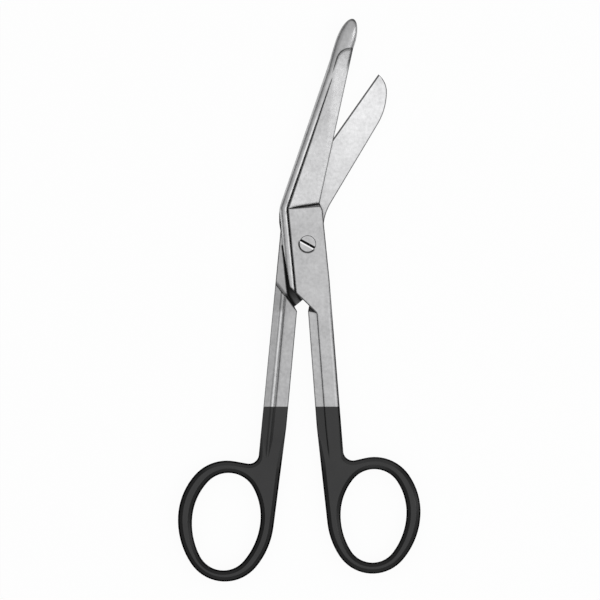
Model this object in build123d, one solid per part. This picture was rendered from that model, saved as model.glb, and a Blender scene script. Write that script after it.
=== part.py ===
from build123d import *
import math
import os

# Angled bandage scissors lying flat: the pivot axis stands on the origin, +Y runs to the blade tips and
# the resting face is at Z = 0. All sizes are in millimetres, all angles in degrees. Each forging is drawn
# in a frame of its own, with its lap face at height 0, its outer face upwards and its ring to the right.

# Lap joint
plate_thickness = 3.4
lap_gap = 0.04
shoulder_height = 9.2
throat_drop = 1.5
plate_overlap = 1.0
pocket_depth = 1.0
pocket_width = 3.6

# Pivot screw
screw_head_diameter = 5.5
screw_head_height = 1.5
screw_shank_diameter = 3.2
screw_slot_width = 0.8
screw_slot_depth = 0.8
screw_slot_angle = -29.0
screw_rim_chamfer = 0.2
running_clearance = 0.04
seat_clearance = 0.02

# Blades, both forgings
cutting_edge_thickness = 0.5
spine_tip_thickness = 2.0
crease_inset = 2.9
crease_step = 0.7
crease_step_lean = 0.12
flank_rise = 0.3
flank_edge_height = 0.7
plunge_wall_angle = 78.0

# Long blade with the probe tip
long_elbow = (-9.35, 11.6)
long_elbow_rounding = 12.0
long_spine_angle = 18.9
long_heel = (3.9, 13.4)
long_edge_angle = 12.3
long_grind_end = 64.0
long_plate_corner = (4.95, 11.1)
long_plate_side = (5.48, 5.2)
long_knee = (-9.3, 6.8)
long_flank_foot = (-5.8, -14.2)
long_crease_foot = (-3.8, -15.8)
long_throat = (0.45, -20.6)
long_shoulder_foot = -23.0
plunge_tilt = 5.0
plunge_setback = 1.0
probe_nose = 8.2
probe_tail = 16.0
probe_width = 6.3
probe_thickness = 3.3
probe_tilt = 19.0
probe_drop = 0.45
probe_setback = 2.0
probe_scoop_radius = 4.3

# Short blade
short_elbow = (-5.3, 9.5)
short_elbow_rounding = 16.0
short_spine_angle = -30.8
short_spine_end = 39.3
short_belly = (-26.0, 49.8)
short_tip = (-22.9, 55.8)
short_heel = (5.8, 12.1)
short_edge_belly = 1.1
short_plate_side = (8.6, 7.2)
short_flank_foot = (-4.9, -13.0)
short_shoulder_foot = -22.1
short_shoulder_corner = (4.3, -20.6)
short_crease_start = 4.0
short_plunge_advance = 1.5
pocket_side = [(8.4, -0.5), (7.75, -6.0), (7.2, -11.5), (6.9, -14.2), (6.55, -16.9), (4.1, -20.8)]

# Shanks: heights along the forging, the two half thicknesses there, and insets and drops of the bevels
shank_top = -12.0
shank_foot = -23.0
shank_mid = -60.0
shank_mid_outer = 2.6
shank_mid_inner = 2.5
shank_top_inner = 2.9
ridge_inset = 2.7
ridge_drop = 1.0
ridge_step = 0.42
ridge_step_lean = 0.32
back_edge_inset = 0.6
back_edge_drop = 0.55
back_edge_start = 0.2
under_back_inset = 2.0
under_back_drop = 1.0
rib_start_inset = 2.5
rib_end_inset = 3.2
rib_foot_inset = 4.0
rib_height = 0.65
rib_notch = 0.3
under_edge_drop = 0.9

# Finger rings
ring_thickness = 4.4
ring_near_band = 4.5
ring_far_band = 4.6
ring_top_band = 4.0
ring_bottom_band = 3.6
ring_bevel_inset = 1.5
ring_bevel_drop = 1.0
ring_oval_fullness = 0.62
ring_waist_rise = 0.8
ring_crook_rounding = 3.2
ring_ramp_length = 12.0
ring_ramp_drop = 0.9
shank_run_out = 20.0
shank_cover = 0.5

# Right handle, carried by the long blade: the ring's hole starts at its near side and its top
long_inner = (0.22, 3.0)
long_outer = (8.1, 11.05)
long_ring_start = (10.8, -73.9)
long_ring_length = 30.7
long_ring_width = 21.6
long_ring_tilt = 3.2
long_hole_tilt = 2.7
long_crook_angle = 16.0

# Left handle, carried by the short blade
short_inner = (3.55, 6.97)
short_outer = (11.5, 15.1)
short_ring_start = (15.55, -75.1)
short_ring_length = 32.1
short_ring_width = 22.4
short_ring_tilt = -3.0
short_hole_tilt = -6.7
short_crook_angle = 7.0

reach = 400.0


def half_space(origin, normal):
    """Everything on the side of a plane that its normal points to."""
    return Plane(origin=origin, z_dir=normal) * Pos(0, 0, reach / 2) * Box(reach, reach, reach)


def slab(outline, bottom, top):
    """A flat outline given thickness between two heights."""
    return extrude(Pos(0, 0, bottom) * make_face(outline), top - bottom, dir=(0, 0, 1))


def leaning(start, angle, height):
    """The point at a height on the line that leaves start leaning right of up by angle."""
    return (start[0] + (height - start[1]) * math.tan(math.radians(angle)), height)


def turned(angle, x, y):
    """A vector turned clockwise by angle."""
    c = math.cos(math.radians(angle))
    s = math.sin(math.radians(angle))
    return (c * x + s * y, c * y - s * x)


def flank_cut(crease, angle, fall, below, above):
    """Cutter for the rounded spine beside a crease line: a small steep step, then a rounded flank."""
    direction = turned(angle, 0, 1)
    outward = turned(angle, -1, 0)
    along = Vector(direction[0], direction[1], -fall).normalized()
    plane = Plane(
        origin=Vector(crease[0], crease[1], plate_thickness) - along * below,
        x_dir=(outward[0], outward[1], 0),
        z_dir=along,
    )
    edge = (crease_inset, flank_edge_height - plate_thickness)
    step = (crease_step_lean, -crease_step)
    far = crease_inset + plate_thickness
    outline = Curve() + [
        Line((0, 0), step),
        TangentArc(step, edge, tangent=(1, flank_rise)),
        Polyline(edge, (far, edge[1]), (far, plate_thickness), (0, plate_thickness), (0, 0)),
    ]
    return extrude(plane * make_face(outline), below + above, dir=along)


def grind_cut(crease, angle, tip_height, heel, plunge, plunge_lean):
    """Cutter for a ground face: from the crease at full thickness down to the thin cutting edge."""
    crease_tip = leaning(crease, angle, tip_height)
    first = Vector(crease[0], crease[1], plate_thickness)
    second = Vector(crease_tip[0], crease_tip[1], spine_tip_thickness)
    third = Vector(heel[0], heel[1], cutting_edge_thickness)
    normal = (third - first).cross(second - first)
    wall = math.radians(plunge_wall_angle)
    toward_tip = turned(plunge_lean, 0, math.sin(wall))
    wall_normal = (toward_tip[0], toward_tip[1], math.cos(wall))
    return half_space(first, normal) & half_space((plunge[0], plunge[1], plate_thickness), wall_normal)


def along_side(side, height):
    """Where a shank's side lies at a height, from its places at the shoulder and at the middle."""
    slope = (side[1] - side[0]) / (shank_mid - shank_foot)
    return side[0] + slope * (height - shank_foot)


def arc_about(middle, start, end):
    """The shorter arc about a middle point from start to end."""
    middle, start, end = Vector(*middle), Vector(*start), Vector(*end)
    half_way = (start - middle).normalized() + (end - middle).normalized()
    return ThreePointArc(start, middle + half_way.normalized() * (start - middle).length, end)


def oval(center, half_width, half_length, tilt):
    """Places on an egg of tangent arcs, widest a little above its middle: the middles of its arcs, and
    where they meet."""

    def place(x, y):
        x, y = turned(tilt, x, y + ring_waist_rise)
        return (center[0] + x, center[1] + y)

    places = {"near_waist": place(-half_width, 0), "far_waist": place(half_width, 0)}
    for end, up in (("top", 1), ("bottom", -1)):
        end_length = half_length - up * ring_waist_rise
        end_radius = half_width * (half_width / end_length) ** ring_oval_fullness
        rise = end_length - end_radius
        slack = half_width - end_radius
        run = (rise * rise - slack * slack) / (2 * slack)
        longer = (half_width + run) / math.hypot(run, rise) - 1
        places[end] = place(0, up * rise)
        places[end + "_radius"] = end_radius
        places[end + "_side_radius"] = half_width + run
        places["near_" + end + "_middle"] = place(run, 0)
        places["far_" + end + "_middle"] = place(-run, 0)
        places["near_" + end] = place(-longer * run, up * (1 + longer) * rise)
        places["far_" + end] = place(longer * run, up * (1 + longer) * rise)
    return places


def oval_hole(center, half_width, half_length, tilt):
    rim = oval(center, half_width, half_length, tilt)
    return make_face(
        Curve() + [
            arc_about(rim["near_top_middle"], rim["near_top"], rim["near_waist"]),
            arc_about(rim["near_bottom_middle"], rim["near_waist"], rim["near_bottom"]),
            arc_about(rim["bottom"], rim["near_bottom"], rim["far_bottom"]),
            arc_about(rim["far_bottom_middle"], rim["far_bottom"], rim["far_waist"]),
            arc_about(rim["far_top_middle"], rim["far_waist"], rim["far_top"]),
            arc_about(rim["top"], rim["far_top"], rim["near_top"]),
        ]
    )


def handle(inner, outer, shoulder_foot, throat, ring_start, length, width, tilt, hole_tilt, crook_angle):
    """Shank and finger ring of one forging: a bevelled bar that runs out in a bevelled flat ring."""
    center = (ring_start[0] + width / 2, ring_start[1] - length / 2)
    shift = (ring_far_band - ring_near_band) / 2
    lift = (ring_top_band - ring_bottom_band) / 2
    rim = oval(
        (center[0] + shift, center[1] + lift),
        (width + ring_near_band + ring_far_band) / 2,
        (length + ring_top_band + ring_bottom_band) / 2,
        tilt,
    )
    inner_mid = (inner[1], shank_mid)
    outer_mid = (outer[1], shank_mid)

    # The inner side of the shank runs on as the tangent to the ring's near side.
    near = Vector(*rim["near_bottom_middle"])
    radius = rim["bottom_side_radius"]
    to_mid = Vector(*inner_mid) - near
    bearing = math.atan2(to_mid.Y, to_mid.X) + math.acos(radius / to_mid.length)
    touch = near + Vector(math.cos(bearing), math.sin(bearing)) * radius

    # The top of the ring runs on as a tangent to the back of the shank, where a rounded crook joins them.
    crook = math.radians(crook_angle)
    leave = turned(tilt, -rim["top_radius"] * math.sin(crook), rim["top_radius"] * math.cos(crook))
    leave = (rim["top"][0] + leave[0], rim["top"][1] + leave[1])
    heading = turned(tilt, -math.cos(crook), -math.sin(crook))
    back_slope = (outer[1] - outer[0]) / (shank_mid - shank_foot)
    run = (along_side(outer, leave[1]) - leave[0]) / (heading[0] - back_slope * heading[1])
    corner = (leave[0] + run * heading[0], leave[1] + run * heading[1])

    outline = Curve() + [
        Line(inner_mid, touch),
        arc_about(rim["near_bottom_middle"], touch, rim["near_bottom"]),
        arc_about(rim["bottom"], rim["near_bottom"], rim["far_bottom"]),
        arc_about(rim["far_bottom_middle"], rim["far_bottom"], rim["far_waist"]),
        arc_about(rim["far_top_middle"], rim["far_waist"], rim["far_top"]),
        arc_about(rim["top"], rim["far_top"], leave),
        Polyline(leave, corner, outer_mid, inner_mid),
    ]
    face = make_face(outline)
    face = fillet(face.vertices().sort_by_distance((corner[0], corner[1], 0))[0], ring_crook_rounding)
    half = ring_thickness / 2
    plate = extrude(face - oval_hole(center, width / 2, length / 2, hole_tilt), half, both=True)
    for side in (Axis.Z, -Axis.Z):
        flat = plate.faces().sort_by(side)[-1]
        rims = [edge for edge in flat.edges() if edge.center().Y < shank_mid - ring_bevel_inset / 2]
        plate = chamfer(rims, ring_bevel_inset, ring_bevel_drop, reference=flat)
    for up in (1, -1):
        ramp_start = (0, shank_mid, up * (half - ring_ramp_drop))
        plate -= half_space(ramp_start, (0, ring_ramp_drop / ring_ramp_length, up))

    def section(height, inside, outside, up, down, back_edge=1.0):
        share = (outside - inside) / (outer[0] - inner[0])

        def from_inside(inset, level):
            return (inside + share * inset, height, level)

        def from_outside(inset, level):
            return (outside - share * inset, height, level)

        return make_face(
            Polyline(
                from_inside(0, up - ridge_drop),
                from_inside(ridge_inset, up - ridge_step),
                from_inside(ridge_inset + ridge_step_lean, up),
                from_outside(back_edge_inset * back_edge, up),
                from_outside(0, up - back_edge_drop * back_edge),
                from_outside(0, under_back_drop - down),
                from_outside(under_back_inset, rib_notch - down),
                from_outside(rib_start_inset, -down),
                from_outside(rib_end_inset, -down),
                from_outside(rib_foot_inset, rib_height - down),
                from_inside(0, under_edge_drop - down),
                close=True,
            )
        )

    top_inside = along_side(inner, shank_top)
    top_outside = along_side(outer, shank_top)
    end = shank_mid - shank_run_out
    end_inside = inner[1] + (touch.X - inner[1]) * shank_run_out / (shank_mid - touch.Y)
    sunk = half - shank_cover
    bar = loft(
        [
            section(shank_top, top_inside, top_outside, plate_thickness, shank_top_inner, back_edge_start),
            section(shank_foot, inner[0], outer[0], plate_thickness, shank_top_inner),
            section(shank_mid, inner[1], outer[1], shank_mid_outer, shank_mid_inner),
            section(end, end_inside + shank_cover, along_side(outer, end) - shank_cover, sunk, sunk),
        ],
        ruled=True,
    )
    return bar - shoulder_cut(inner, outer, shoulder_foot) - throat_cut(inner, throat) + plate


def shoulder_cut(inner, outer, foot):
    """Room under the lap face for the other forging, up to a diagonal shoulder across the shank."""
    low = (along_side(inner, foot), foot)
    high = (along_side(outer, foot + shoulder_height), foot + shoulder_height)
    normal = (low[1] - high[1], high[0] - low[0], 0)
    return half_space((low[0], low[1], 0), normal) & half_space((0, 0, 0), (0, 0, -1))


def throat_cut(inner, corner):
    """Cutter for the top of a shank's inner side: it takes off the corner, and bevels the outer face."""
    foot = corner[1] - throat_drop
    low = (along_side(inner, foot), foot)
    side = half_space((low[0], low[1], 0), (low[1] - corner[1], corner[0] - low[0], 0))
    bevel = half_space((0, foot, plate_thickness - ridge_drop), (0, 1, 1))
    return (side + bevel) & half_space((low[0] + ridge_inset, foot, 0), (-1, 0, 0))


def pivot_hole(diameter):
    return Pos(0, 0, plate_thickness / 2) * Cylinder(diameter / 2, 2 * plate_thickness)


def upper_half():
    """Forging with the long probe-tipped blade and the right ring."""
    probe_middle = long_grind_end + probe_setback
    spine_end = leaning(long_elbow, long_spine_angle, probe_middle)
    edge_end = leaning(long_heel, long_edge_angle, probe_middle)
    ridge_foot = (long_inner[0] + ridge_inset + ridge_step_lean, shank_foot)
    side_foot = (along_side(long_outer, shank_top), shank_top)
    covered = (ridge_foot[0] + plate_overlap, shank_foot)
    face = make_face(
        Polyline(
            long_heel, edge_end, spine_end, long_elbow, long_knee, long_flank_foot, ridge_foot, covered,
            (covered[0], shank_top), side_foot, long_plate_side, long_plate_corner, close=True,
        )
    )
    elbow = face.vertices().sort_by_distance((long_elbow[0], long_elbow[1], 0))[0]
    lap = extrude(fillet(elbow, long_elbow_rounding), plate_thickness, dir=(0, 0, 1))

    crease = (long_elbow[0] + crease_inset, long_elbow[1])
    blade = long_grind_end - long_elbow[1]
    fall = (plate_thickness - spine_tip_thickness - crease_step) / blade
    foot_run = crease[1] - long_crease_foot[1]
    foot_angle = -math.degrees(math.atan2(long_crease_foot[0] - crease[0], foot_run))
    lap -= flank_cut(crease, long_spine_angle, fall, long_elbow_rounding, 2 * blade)
    lap -= flank_cut(crease, foot_angle, 0, 2 * foot_run, long_elbow_rounding)
    plunge = (long_heel[0], long_heel[1] - plunge_setback)
    grind = grind_cut(crease, long_spine_angle, long_grind_end, long_heel, plunge, -plunge_tilt)
    probe_outline = Curve() + [
        EllipticalCenterArc((0, 0), probe_width / 2, probe_nose, start_angle=0, arc_size=90),
        Line((0, probe_nose), (0, -probe_tail)),
        EllipticalCenterArc((0, 0), probe_width / 2, probe_tail, start_angle=270, arc_size=90),
    ]
    probe = scale(revolve(make_face(probe_outline), Axis.Y), (1, 1, probe_thickness / probe_width))
    probe_center = ((spine_end[0] + edge_end[0]) / 2, probe_middle, probe_thickness / 2 - probe_drop)
    tip = Pos(*probe_center) * Rot(0, 0, -probe_tilt) * probe
    wheel = leaning(long_heel, long_edge_angle, long_grind_end - probe_scoop_radius)
    back = turned(long_spine_angle, 0, -1)
    inward = turned(long_spine_angle, 1, 0)
    side = (wheel[0] - probe_scoop_radius * inward[0], wheel[1] - probe_scoop_radius * inward[1], 0)
    scoop = half_space((wheel[0], wheel[1], 0), (back[0], back[1], 0))
    scoop &= half_space(side, (inward[0], inward[1], 0))
    tip -= grind & (scoop + Pos(*wheel) * Cylinder(probe_scoop_radius, reach))

    body = lap - grind + tip + handle(
        long_inner, long_outer, long_shoulder_foot, long_throat, long_ring_start, long_ring_length,
        long_ring_width, long_ring_tilt, long_hole_tilt, long_crook_angle,
    )
    head_seat = screw_head_height + seat_clearance
    body -= pivot_hole(screw_shank_diameter + 2 * running_clearance)
    body -= Pos(0, 0, plate_thickness - head_seat / 2) * Cylinder(
        screw_head_diameter / 2 + running_clearance, head_seat
    )
    return Pos(0, 0, plate_thickness + lap_gap) * body


def lower_half():
    """Forging with the short pointed blade and the left ring, turned over to lie under the other."""
    spine_end = leaning(short_elbow, short_spine_angle, short_spine_end)
    side_foot = (along_side(short_outer, shank_top), shank_top)
    covered = (short_shoulder_corner[0] + ridge_inset + plate_overlap, short_shoulder_corner[1])
    chord = Vector(*short_tip) - Vector(*short_heel)
    middle = (Vector(*short_tip) + Vector(*short_heel)) * 0.5
    belly = middle + Vector(chord.Y, -chord.X).normalized() * short_edge_belly
    back = turned(short_spine_angle, 0, 1)
    first_arc = TangentArc(spine_end, short_belly, tangent=back)
    outline = Curve() + [
        Polyline(spine_end, short_elbow, short_flank_foot, short_shoulder_corner, covered),
        Polyline(covered, (covered[0], shank_top), side_foot, short_plate_side, short_heel),
        ThreePointArc(short_heel, (belly.X, belly.Y), short_tip),
        first_arc,
        TangentArc(short_belly, short_tip, tangent=first_arc % 1),
    ]
    face = make_face(outline)
    elbow = face.vertices().sort_by_distance((short_elbow[0], short_elbow[1], 0))[0]
    lap = extrude(fillet(elbow, short_elbow_rounding), plate_thickness, dir=(0, 0, 1))

    crease = (short_elbow[0] + crease_inset, short_elbow[1])
    crease = leaning(crease, short_spine_angle, short_elbow[1] + short_crease_start)
    blade = short_tip[1] - short_elbow[1]
    fall = (plate_thickness - spine_tip_thickness) / blade
    lap -= flank_cut(crease, short_spine_angle, fall, 0, 2 * blade)
    plunge = (short_heel[0], short_heel[1] + short_plunge_advance)
    lap -= grind_cut(crease, short_spine_angle, short_tip[1], short_heel, plunge, short_spine_angle / 2)

    body = lap + handle(
        short_inner, short_outer, short_shoulder_foot, short_shoulder_corner, short_ring_start,
        short_ring_length, short_ring_width, short_ring_tilt, short_hole_tilt, short_crook_angle,
    )
    pocket_back = [(x - pocket_width, y) for x, y in reversed(pocket_side)]
    body -= slab(Polyline(*pocket_side, *pocket_back, close=True), 0, pocket_depth)
    body -= pivot_hole(screw_shank_diameter + 2 * seat_clearance)
    return Pos(0, 0, plate_thickness) * Rot(0, 180, 0) * body


def pivot_screw():
    """Slotted screw: its head lies flush in the upper forging, its shank is held in the lower one."""
    top = 2 * plate_thickness + lap_gap
    body = Pos(0, 0, top / 2) * Cylinder(screw_shank_diameter / 2, top)
    head = Pos(0, 0, top - screw_head_height / 2) * Cylinder(screw_head_diameter / 2, screw_head_height)
    body += chamfer(head.edges().sort_by(Axis.Z)[-1], screw_rim_chamfer)
    slot = Box(2 * screw_head_diameter, screw_slot_width, 2 * screw_slot_depth)
    return body - Pos(0, 0, top) * Rot(0, 0, screw_slot_angle) * slot


os.makedirs("parts", exist_ok=True)
export_step(upper_half(), "parts/upper_half.step")
export_step(lower_half(), "parts/lower_half.step")
export_step(pivot_screw(), "parts/pivot_screw.step")
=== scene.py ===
import math

import bmesh
import bpy
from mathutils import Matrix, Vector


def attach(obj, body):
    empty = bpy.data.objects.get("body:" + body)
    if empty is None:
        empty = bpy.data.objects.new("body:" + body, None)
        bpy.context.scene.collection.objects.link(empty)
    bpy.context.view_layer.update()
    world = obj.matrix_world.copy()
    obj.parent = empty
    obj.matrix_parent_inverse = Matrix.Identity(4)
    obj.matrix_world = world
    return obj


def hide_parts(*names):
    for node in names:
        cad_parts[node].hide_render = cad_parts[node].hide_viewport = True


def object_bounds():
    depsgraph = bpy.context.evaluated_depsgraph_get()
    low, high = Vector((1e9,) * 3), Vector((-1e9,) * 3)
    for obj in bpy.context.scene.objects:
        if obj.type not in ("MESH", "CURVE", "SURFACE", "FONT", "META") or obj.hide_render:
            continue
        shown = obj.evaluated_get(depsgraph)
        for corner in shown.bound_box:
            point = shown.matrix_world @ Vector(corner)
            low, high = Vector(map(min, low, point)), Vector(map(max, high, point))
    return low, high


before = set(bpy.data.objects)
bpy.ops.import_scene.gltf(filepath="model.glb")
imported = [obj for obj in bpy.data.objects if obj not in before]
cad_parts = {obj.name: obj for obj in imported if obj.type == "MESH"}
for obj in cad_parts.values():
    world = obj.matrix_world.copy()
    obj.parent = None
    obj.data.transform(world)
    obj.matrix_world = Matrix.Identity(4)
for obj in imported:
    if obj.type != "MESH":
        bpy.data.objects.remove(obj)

cad_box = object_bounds()

# Lengths are in metres, in the frame of the scissors: the pivot stands on the origin, the tips point to +Y.
# A pair of values is where a change starts and ends. A band has a start, an end and a soft length.
# An edge's painted shade has its reach, then the occlusion shares at which its darkness starts and is full.

# Camera, floor and light
VIEW_WIDTH = 0.1968
VIEW_CENTRE = (-0.00249, -0.01843)
CAMERA_HEIGHT = 0.9
FLOOR_HALF_WIDTH = 3.0
FLOOR_GAP = 0.00005
FLOOR_GREY = 0.9
FLOOR_GLOW = 0.95
SKY_LEVEL = 0.16
SKY_OVERHEAD = 0.76
SKY_ENDS = 0.35
SKY_HORIZON = 0.25
LAMP_TARGET = (0.0, -0.01, 0.0)

# Meshes: how far faces turn at a real edge. Facets are coarser on the blades and plates than on the shanks.
EDGE_ANGLE = math.radians(10)
BLADE_EDGE_ANGLE = math.radians(28)
BLADE_START = -0.0165
FLAT_ANGLE = math.radians(0.3)
MERGE_DISTANCE = 1e-6
POCKET_FLOOR = 0.0024
FLOOR_TOLERANCE = 1e-5

# Steel
STROKE_SCALE = (7000, 500, 2000)
CLOUD_SCALE = 160.0
MOTTLE_SCALE = 900.0
GRAIN_SCALE = 5200.0
# Painted shade in corners, where faces of a piece come close.
CORNER_REACH = 0.0012
CORNER_SHADE = (0.03, 0.28)
CORNER_SHADE_GREY = 0.012
# How much the painted edge shade darkens the steel.
EDGE_SHADE_DEPTH = 0.85
# Where the levels of polish and painted light and shade run along the scissors.
POLISH_AND_SHADING_START = -0.06
POLISH_AND_SHADING_END = 0.07
BUMP_STRENGTH = 0.06
BUMP_DEPTH = 0.00002

# Coating on the handles. Heights on the rings are measured up and down from the middle of their thickness.
COAT_LINE = -0.0534
COAT_RAGGEDNESS = 0.0001
COAT_SOFTNESS = 0.00006
RING_MIDDLE = 0.00342
RING_START = (-0.072, -0.066)
# Painted shade in bands on the rings' rims and bevels.
RING_RIM_SHADE = (0.0011, 0.00145, 0.0002)
RING_BEVEL_START = (-0.075, -0.072)
RING_BEVEL_SHADE = (0.0012, 0.00208, 0.00008)

# Screw
SCREW_AXIS = (0.0, 0.0)
SLOT_ANGLE = math.radians(-61)
# A painted highlight along one side of the slot.
SLOT_HIGHLIGHT = (-0.0008, -0.0003, 0.0001)

# Long half
# Levels of polish and painted light and shade along the long half, darker on the shank and probe.
LONG_HALF_POLISH_AND_SHADING = [
    (-0.06, 0.92), (-0.024, 0.95), (-0.020, 0.98), (0.012, 1.0), (0.056, 1.0), (0.062, 0.80),
]
# How strong the painted corner shade is along the long half.
LONG_HALF_CORNER_SHADE = [(-0.0195, 0.5), (-0.0185, 1.0), (0.05, 1.0), (0.056, 0.55)]
# The reach of the painted edge shade on the long half.
LONG_HALF_EDGE_SHADE = (0.0006, 0.05, 0.25)
# The screw seat, and the side of the slot line where it has no painted edge shade.
SCREW_SEAT = (0.0031, 0.0037)
SEAT_SIDE_WITHOUT_EDGE_SHADE = (-0.0012, 0.0)
CREASE_ELBOW = (-0.00645, 0.0116)
BLADE_CREASE_SLOPE = math.tan(math.radians(18.9))
PLATE_CREASE_SLOPE = math.tan(math.radians(5.52))
# A painted highlight on the lip beside the crease.
LIP_HIGHLIGHT = (-0.0008, -0.0003, 0.0003)
LIP_HIGHLIGHT_LENGTH = (-0.014, 0.03, 0.02)
# Painted shade on the flank beyond the lip.
FLANK_SHADE = (-0.0014, -0.0010)
FLANK_SHADE_START = (0.006, 0.014)
LONG_SHANK_START = (-0.03, -0.01)
# Painted shade along the back bevel of the shank.
BACK_EDGE = (0.00795, -0.025)
BACK_EDGE_ANGLE = math.radians(-4.25)
BACK_BEVEL_SHADE = (-0.0002, 0.0001)
BACK_BEVEL_FOOT = 0.00625
BACK_BEVEL_FALL = 0.0218
BACK_BEVEL_BLEND = (-0.0001, 0.00005)
# A painted highlight just inside the back edge.
BACK_HIGHLIGHT = (-0.0008, -0.0004, 0.0002)
# Painted shade around the probe's rim.
PROBE_RIM_SHADE = (0.0014, 0.2, 0.5)
PROBE_START = (0.056, 0.060)

# Short half
# Levels of polish and painted light and shade along the short half: painted shade on the plate under the
# long half, the blade polished and painted lighter towards the point.
SHORT_HALF_POLISH_AND_SHADING = [
    (-0.06, 0.80), (-0.023, 0.86), (-0.020, 0.75), (0.0, 0.78), (0.012, 1.15), (0.038, 1.55),
]
# Painted shadow levels along the relief pocket.
POCKET_SHADOW = [(-0.0215, 0.26), (-0.0175, 0.10), (-0.015, 0.03), (0.0, 0.02)]
# Painted shade along the edges: fine all round, broader away from the cutting edge.
FINE_EDGE_SHADE = (0.0002, 0.03, 0.15)
BROAD_EDGE_SHADE = (0.00045, 0.05, 0.22)
CUTTING_EDGE = (0.008, 0.0344)
CUTTING_ANGLE = math.radians(35.9)
BROAD_EDGE_START = (0.0012, 0.002)
# Where the painted corner shade is halved, on the outer part of the shoulder.
SHOULDER = (-0.01007, -0.0128)
SHOULDER_ANGLE = math.radians(-36.8)
SHOULDER_BAND = (-0.0008, 0.0008, 0.0002)
OUTER_SHOULDER_END = (-0.0078, -0.0068)
SHORT_SHANK_START = (-0.023, -0.021)
# A painted highlight on the rib of the shank, and painted shade in the groove beside it.
RIB = (-0.00905, -0.025)
RIB_ANGLE = math.radians(4.8)
RIB_HIGHLIGHT_BAND = (-0.0006, 0.0006, 0.0003)
GROOVE_SHADE_BAND = (0.0010, 0.0011, 0.0003)


class Amount:
    """A number that varies over a surface. Arithmetic on it adds Math nodes to its tree."""

    def __init__(self, tree, socket):
        self.tree = tree
        self.socket = socket

    def math(self, operation, *terms):
        places = dict(enumerate(terms))
        return self.tree.add("ShaderNodeMath", {"operation": operation}, places).amount()

    def __add__(self, other):
        return self.math("ADD", self, other)

    def __sub__(self, other):
        return self.math("SUBTRACT", self, other)

    def __rsub__(self, other):
        return self.math("SUBTRACT", other, self)

    def __mul__(self, other):
        return self.math("MULTIPLY", self, other)

    __radd__ = __add__
    __rmul__ = __mul__

    def root(self):
        return self.math("SQRT", self)

    def size(self):
        return self.math("ABSOLUTE", self)

    def larger(self, other):
        return self.math("MAXIMUM", self, other)

    def smaller(self, other):
        return self.math("MINIMUM", self, other)

    def step(self, start, end, rise="SMOOTHSTEP"):
        """0 below start and 1 above end, with a smooth or a straight rise between them."""
        sockets = {"Value": self, "From Min": start, "From Max": end}
        return self.tree.add("ShaderNodeMapRange", {"interpolation_type": rise}, sockets).amount()

    def band(self, start, end, soft):
        """1 between start and end, falling to 0 over the soft length at both of them."""
        return self.step(start - soft, start) * (1 - self.step(end, end + soft))


class Node:
    """One node of a tree, whose outputs are asked for by name or number."""

    def __init__(self, tree, node):
        self.tree = tree
        self.node = node

    def out(self, name=0):
        return self.node.outputs[name]

    def amount(self, name=0):
        return Amount(self.tree, self.out(name))


class Tree:
    """The nodes of one finish or of the light around the scissors."""

    def __init__(self, owner):
        owner.use_nodes = True
        self.tree = owner.node_tree
        self.tree.nodes.clear()

    def add(self, kind, settings=None, sockets=None):
        node = self.tree.nodes.new(kind)
        for name, value in (settings or {}).items():
            if name == "stops":
                set_stops(node.color_ramp, value)
            else:
                setattr(node, name, value)
        for name, value in (sockets or {}).items():
            self.feed(node.inputs[name], value)
        return Node(self, node)

    def feed(self, place, value):
        if isinstance(value, Amount):
            value = value.socket
        if isinstance(value, bpy.types.NodeSocket):
            self.tree.links.new(value, place)
        else:
            place.default_value = value


def set_stops(ramp, stops):
    while len(ramp.elements) < len(stops):
        ramp.elements.new(0.5)
    for element, (place, colour) in zip(ramp.elements, stops):
        element.position = place
        element.color = colour


def grey(value):
    return (value, value, value, 1.0)


def noise(tree, place, scale, detail):
    sockets = {"Vector": place, "Scale": scale, "Detail": detail, "Roughness": 0.55}
    return tree.add("ShaderNodeTexNoise", sockets=sockets).amount("Fac")


def greyish(tree, tone, blue):
    sockets = {"Red": tone, "Green": tone, "Blue": tone * blue}
    return tree.add("ShaderNodeCombineColor", sockets=sockets).out()


def blended(tree, factor, first, second):
    return tree.add("ShaderNodeMix", {"data_type": "RGBA"}, {"Factor": factor, 6: first, 7: second}).out(2)


def nearness(tree, distance, inside):
    """1 in a corner or, from inside, along an outer edge; 0 further off than the distance."""
    settings = {"samples": 12, "only_local": True, "inside": inside}
    return 1 - tree.add("ShaderNodeAmbientOcclusion", settings, {"Distance": distance}).amount("AO")


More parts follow.
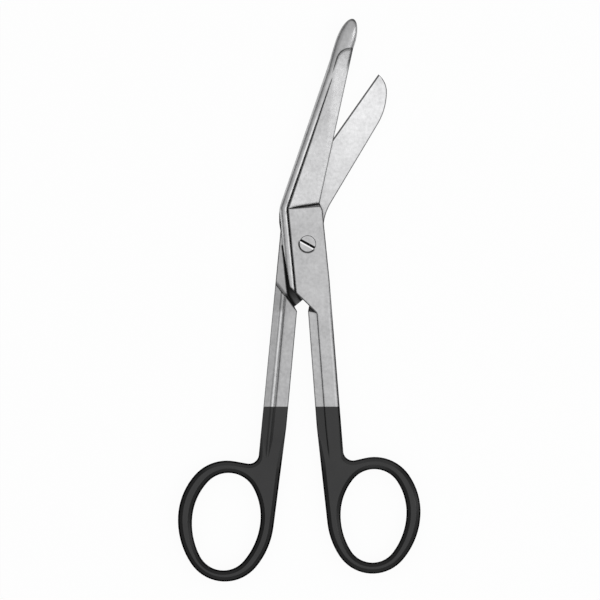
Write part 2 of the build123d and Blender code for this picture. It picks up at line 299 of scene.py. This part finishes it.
class Finish:
    """A finish of the scissors: its tree, where a point lies, and the marks that all the steel has."""

    def __init__(self, name):
        self.material = bpy.data.materials.new(name)
        self.tree = Tree(self.material)
        place = self.tree.add("ShaderNodeTexCoord").out("Object")
        parts = self.tree.add("ShaderNodeSeparateXYZ", sockets={"Vector": place})
        self.x = parts.amount("X")
        self.y = parts.amount("Y")
        self.z = parts.amount("Z")
        strokes = self.tree.add("ShaderNodeMapping", sockets={"Vector": place, "Scale": STROKE_SCALE})
        self.streak = noise(self.tree, strokes.out(), 1.0, 4.0)
        self.cloud = noise(self.tree, place, CLOUD_SCALE, 3.0)
        self.mottle = noise(self.tree, place, MOTTLE_SCALE, 3.0)
        self.grain = noise(self.tree, place, GRAIN_SCALE, 2.0)
        # Painted shade in the corners of the piece.
        self.corner = nearness(self.tree, CORNER_REACH, False).step(*CORNER_SHADE)
        self.metallic = 1.0

    def side_of(self, place, angle):
        """How far a point lies to the right of a line that leaves a place at an angle from +Y."""
        return (self.x - place[0]) * math.cos(angle) - (self.y - place[1]) * math.sin(angle)

    def level(self, polish_and_shading):
        """How light the steel is along the scissors, from a list of places and levels."""
        along = self.y.step(POLISH_AND_SHADING_START, POLISH_AND_SHADING_END, "LINEAR")
        length = POLISH_AND_SHADING_END - POLISH_AND_SHADING_START
        stops = [((y - POLISH_AND_SHADING_START) / length, grey(light / 2)) for y, light in polish_and_shading]
        return 2 * self.tree.add("ShaderNodeValToRGB", {"stops": stops}, {"Fac": along}).amount()

    def edge(self, distance, start, end):
        """1 along the outer edges of the piece, where painted edge shade goes."""
        return nearness(self.tree, distance, True).step(start, end)

    def steel(self, light):
        """Satin steel with soft mottling and fine strokes, rougher in its corners and with painted shade
        there.
        """
        tone = (0.26 + 0.22 * self.cloud + 0.26 * self.mottle + 0.12 * self.streak) * light
        self.colour = blended(self.tree, self.corner, greyish(self.tree, tone, 1.01), grey(CORNER_SHADE_GREY))
        self.rough = 0.26 + 0.08 * self.streak + 0.05 * self.mottle + 0.2 * self.corner

    def coat(self, edge):
        """Coating below the coat line, with painted shade along its outer edges and on the rings' rims and
        bevels.
        """
        ragged = self.y + (self.grain - 0.5) * COAT_RAGGEDNESS
        coat = 1 - ragged.step(COAT_LINE - COAT_SOFTNESS, COAT_LINE + COAT_SOFTNESS)
        on_ring = 1 - self.y.step(*RING_START)
        from_middle = (self.z - RING_MIDDLE).size()
        # Painted shade on the rings' rims and bevels, and along the outer edges.
        ring_rim_shade = from_middle.band(*RING_RIM_SHADE) * on_ring
        ring_bevel_shade = from_middle.band(*RING_BEVEL_SHADE) * (1 - self.y.step(*RING_BEVEL_START))
        coat_shade = ring_rim_shade.larger(0.4 * ring_bevel_shade).larger(edge * (1 - on_ring))
        tone = (0.008 + 0.009 * self.cloud + 0.006 * self.grain) * (1 - 0.9 * coat_shade)
        self.colour = blended(self.tree, coat, self.colour, greyish(self.tree, tone, 1.03))
        self.metallic = 1 - coat * (1 - coat_shade)
        self.rough = self.rough + coat * (0.34 + 0.06 * self.grain - self.rough)

    def done(self):
        """The finished material, with the strokes and the grain as a faint relief."""
        height = self.streak * 0.6 + self.grain * 0.4
        relief = {"Height": height, "Strength": BUMP_STRENGTH, "Distance": BUMP_DEPTH}
        bump = self.tree.add("ShaderNodeBump", sockets=relief)
        surface = {
            "Base Color": self.colour,
            "Metallic": self.metallic,
            "Roughness": self.rough,
            "Normal": bump.out(),
        }
        shader = self.tree.add("ShaderNodeBsdfPrincipled", sockets=surface)
        self.tree.add("ShaderNodeOutputMaterial", sockets={"Surface": shader.out()})
        return self.material


def long_half_finish():
    """The long half: painted shade along its outer edges and back bevel, and a painted highlight on the lip
    beside the blade's crease.
    """
    finish = Finish("long_half_steel_and_coat")
    from_axis = (finish.x * finish.x + finish.y * finish.y).root()
    slot_side = finish.side_of(SCREW_AXIS, SLOT_ANGLE)
    # No painted edge shade on one side of the screw seat.
    seat_without_edge_shade = slot_side.step(*SEAT_SIDE_WITHOUT_EDGE_SHADE) * (1 - from_axis.step(*SCREW_SEAT))
    # Painted shade along the outer edges.
    edge = finish.edge(*LONG_HALF_EDGE_SHADE) * (1 - seat_without_edge_shade)
    from_elbow = finish.y - CREASE_ELBOW[1]
    blade_crease = CREASE_ELBOW[0] + from_elbow * BLADE_CREASE_SLOPE
    plate_crease = CREASE_ELBOW[0] - from_elbow * PLATE_CREASE_SLOPE
    from_crease = finish.x - blade_crease.larger(plate_crease)
    # Painted highlight on the lip beside the crease.
    lip_highlight = from_crease.band(*LIP_HIGHLIGHT) * finish.y.band(*LIP_HIGHLIGHT_LENGTH)
    # Painted shade on the flank beyond the lip.
    flank_shade = (1 - from_crease.step(*FLANK_SHADE)) * finish.y.step(*FLANK_SHADE_START)
    from_back = finish.side_of(BACK_EDGE, BACK_EDGE_ANGLE)
    on_shank = 1 - finish.y.step(*LONG_SHANK_START)
    above_side = finish.z - BACK_BEVEL_FOOT - (finish.y - BACK_EDGE[1]) * BACK_BEVEL_FALL
    # Painted shade on the back bevel of the shank.
    back_shade = from_back.step(*BACK_BEVEL_SHADE) * on_shank * above_side.step(*BACK_BEVEL_BLEND)
    # Painted highlight just inside the back edge.
    back_highlight = from_back.band(*BACK_HIGHLIGHT) * on_shank
    edge = edge.larger(back_shade)
    # Painted shade around the probe's rim.
    probe_rim_shade = finish.edge(*PROBE_RIM_SHADE) * finish.y.step(*PROBE_START)
    # Painted corner shade, weaker towards the shank and the probe.
    finish.corner = finish.corner * finish.level(LONG_HALF_CORNER_SHADE)
    light = finish.level(LONG_HALF_POLISH_AND_SHADING) * (1 + lip_highlight + 0.2 * back_highlight) * (1 - 0.15 * flank_shade)
    finish.steel(light * (1 - EDGE_SHADE_DEPTH * edge.larger(probe_rim_shade)))
    finish.coat(edge)
    return finish.done()


def short_half_finish():
    """The short half: its blade is polished and painted lighter towards the point, with a painted highlight
    on its rib.
    """
    finish = Finish("short_half_steel_and_coat")
    from_cut = finish.side_of(CUTTING_EDGE, CUTTING_ANGLE)
    # Painted shade along the edges, broader away from the cutting edge.
    broad_edge_shade = finish.edge(*BROAD_EDGE_SHADE) * from_cut.step(*BROAD_EDGE_START)
    edge = finish.edge(*FINE_EDGE_SHADE).larger(broad_edge_shade)
    on_shoulder = finish.side_of(SHOULDER, SHOULDER_ANGLE).band(*SHOULDER_BAND)
    outer_shoulder = on_shoulder * (1 - finish.x.step(*OUTER_SHOULDER_END))
    # Half the painted corner shade on the outer shoulder.
    finish.corner = finish.corner * (1 - 0.5 * outer_shoulder)
    from_rib = finish.side_of(RIB, RIB_ANGLE)
    on_shank = 1 - finish.y.step(*SHORT_SHANK_START)
    # Painted highlight on the rib.
    rib_highlight = from_rib.band(*RIB_HIGHLIGHT_BAND) * on_shank
    # Painted shade beside the rib.
    groove_shade = from_rib.band(*GROOVE_SHADE_BAND) * on_shank
    light = finish.level(SHORT_HALF_POLISH_AND_SHADING) * (1 + 0.5 * rib_highlight) * (1 - 0.4 * groove_shade)
    finish.steel(light * (1 - EDGE_SHADE_DEPTH * edge))
    finish.coat(edge)
    return finish.done()


def pocket_shadow_finish():
    """Painted shadow in the relief pocket, lightest at its end towards the handles."""
    finish = Finish("relief_pocket_painted_shadow")
    finish.steel(finish.level(POCKET_SHADOW))
    return finish.done()


def screw_finish():
    """The screw: a painted highlight along one side of its slot."""
    finish = Finish("screw_steel")
    # Painted highlight along one side of the slot.
    slot_highlight = finish.side_of(SCREW_AXIS, SLOT_ANGLE).band(*SLOT_HIGHLIGHT)
    finish.steel(1.0 + 0.7 * slot_highlight)
    return finish.done()


def dressed(name, node, body, finish, scale=None):
    """A piece that stands for a CAD node: its mesh merged, its real edges found and kept crisp, its pocket
    floor given the painted shadow finish when there is one.
    """
    shape = bmesh.new()
    shape.from_mesh(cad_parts[node].data)
    bmesh.ops.remove_doubles(shape, verts=shape.verts, dist=MERGE_DISTANCE)
    bmesh.ops.dissolve_limit(shape, angle_limit=FLAT_ANGLE, verts=shape.verts, edges=shape.edges)
    for edge in shape.edges:
        on_blade = min(corner.co.y for corner in edge.verts) > BLADE_START
        edge.smooth = edge.calc_face_angle(0) < (BLADE_EDGE_ANGLE if on_blade else EDGE_ANGLE)
    for face in shape.faces:
        face.smooth = True
        # Faces on the pocket floor take the second finish, the painted pocket shadow.
        if scale and abs(face.calc_center_median().z - POCKET_FLOOR) < FLOOR_TOLERANCE:
            face.material_index = 1
    mesh = bpy.data.meshes.new(name)
    shape.to_mesh(mesh)
    shape.free()
    mesh.materials.append(finish)
    if scale:
        mesh.materials.append(scale)
    piece = bpy.data.objects.new(name, mesh)
    bpy.context.collection.objects.link(piece)
    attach(piece, body)
    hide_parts(node)


def white_floor():
    """Pale floor, white where it is seen or mirrored, that still takes the shadow of the scissors."""
    material = bpy.data.materials.new("white_floor")
    tree = Tree(material)
    path = tree.add("ShaderNodeLightPath")
    seen = path.amount("Is Camera Ray") + path.amount("Is Glossy Ray") + path.amount("Is Transmission Ray")
    plain = tree.add("ShaderNodeBsdfDiffuse", sockets={"Color": grey(FLOOR_GREY)})
    glow = tree.add("ShaderNodeEmission", sockets={"Color": grey(1.0), "Strength": 1.0})
    share = seen.smaller(1.0) * FLOOR_GLOW
    mixed = tree.add("ShaderNodeMixShader", sockets={0: share, 1: plain.out(), 2: glow.out()})
    tree.add("ShaderNodeOutputMaterial", sockets={"Surface": mixed.out()})
    low = cad_box[0].z - FLOOR_GAP
    sides = [(-1, -1), (1, -1), (1, 1), (-1, 1)]
    corners = [(x * FLOOR_HALF_WIDTH, y * FLOOR_HALF_WIDTH, low) for x, y in sides]
    mesh = bpy.data.meshes.new("floor")
    mesh.from_pydata(corners, [], [(0, 1, 2, 3)])
    mesh.materials.append(material)
    floor = bpy.data.objects.new("floor", mesh)
    bpy.context.collection.objects.link(floor)


def studio_sky():
    """Soft light all round: bright overhead and at the ends, darker at the sides, white to the camera."""
    world = bpy.data.worlds.new("studio")
    bpy.context.scene.world = world
    tree = Tree(world)
    around = tree.add("ShaderNodeTexCoord").out("Generated")
    direction = tree.add("ShaderNodeSeparateXYZ", sockets={"Vector": around})
    up = direction.amount("Z")
    along = direction.amount("Y")
    overhead = SKY_OVERHEAD * up.step(0.25, 0.85)
    ends = SKY_ENDS * (along * along).step(0.5, 0.8) * (1 - up.step(0.3, 0.7))
    horizon = SKY_HORIZON * (1 - up.step(0.0, 0.2))
    level = SKY_LEVEL + overhead + ends + horizon
    seen = tree.add("ShaderNodeLightPath").amount("Is Camera Ray")
    strength = level + seen * (1.0 - level)
    glow = tree.add("ShaderNodeBackground", sockets={"Color": grey(1.0), "Strength": strength})
    tree.add("ShaderNodeOutputWorld", sockets={"Surface": glow.out()})


def soft_lamp(name, place, size, power):
    """A softbox at a place, turned to the middle of the scissors."""
    lamp = bpy.data.lights.new(name, "AREA")
    lamp.shape = "RECTANGLE"
    lamp.size, lamp.size_y = size
    lamp.energy = power
    lamp_object = bpy.data.objects.new(name, lamp)
    lamp_object.location = place
    aim = Vector(LAMP_TARGET) - lamp_object.location
    lamp_object.rotation_euler = aim.to_track_quat("-Z", "Y").to_euler()
    bpy.context.collection.objects.link(lamp_object)


def camera_above():
    """Camera straight above the scissors, as in the photograph."""
    camera = bpy.data.cameras.new("camera")
    camera.type = "ORTHO"
    camera.ortho_scale = VIEW_WIDTH
    camera_object = bpy.data.objects.new("camera", camera)
    camera_object.location = (*VIEW_CENTRE, CAMERA_HEIGHT)
    bpy.context.collection.objects.link(camera_object)
    bpy.context.scene.camera = camera_object


dressed("long_blade_half", "upper_half", "upper", long_half_finish())
dressed("short_blade_half", "lower_half", "lower", short_half_finish(), pocket_shadow_finish())
dressed("slotted_screw", "pivot_screw", "lower", screw_finish())

white_floor()
studio_sky()
soft_lamp("key_softbox", (0.5, -0.5, 0.9), (0.5, 0.5), 1.0)
soft_lamp("side_strip", (0.8, 0.05, 0.55), (0.2, 0.5), 1.0)
camera_above()
bpy.context.scene.view_settings.view_transform = "Standard"
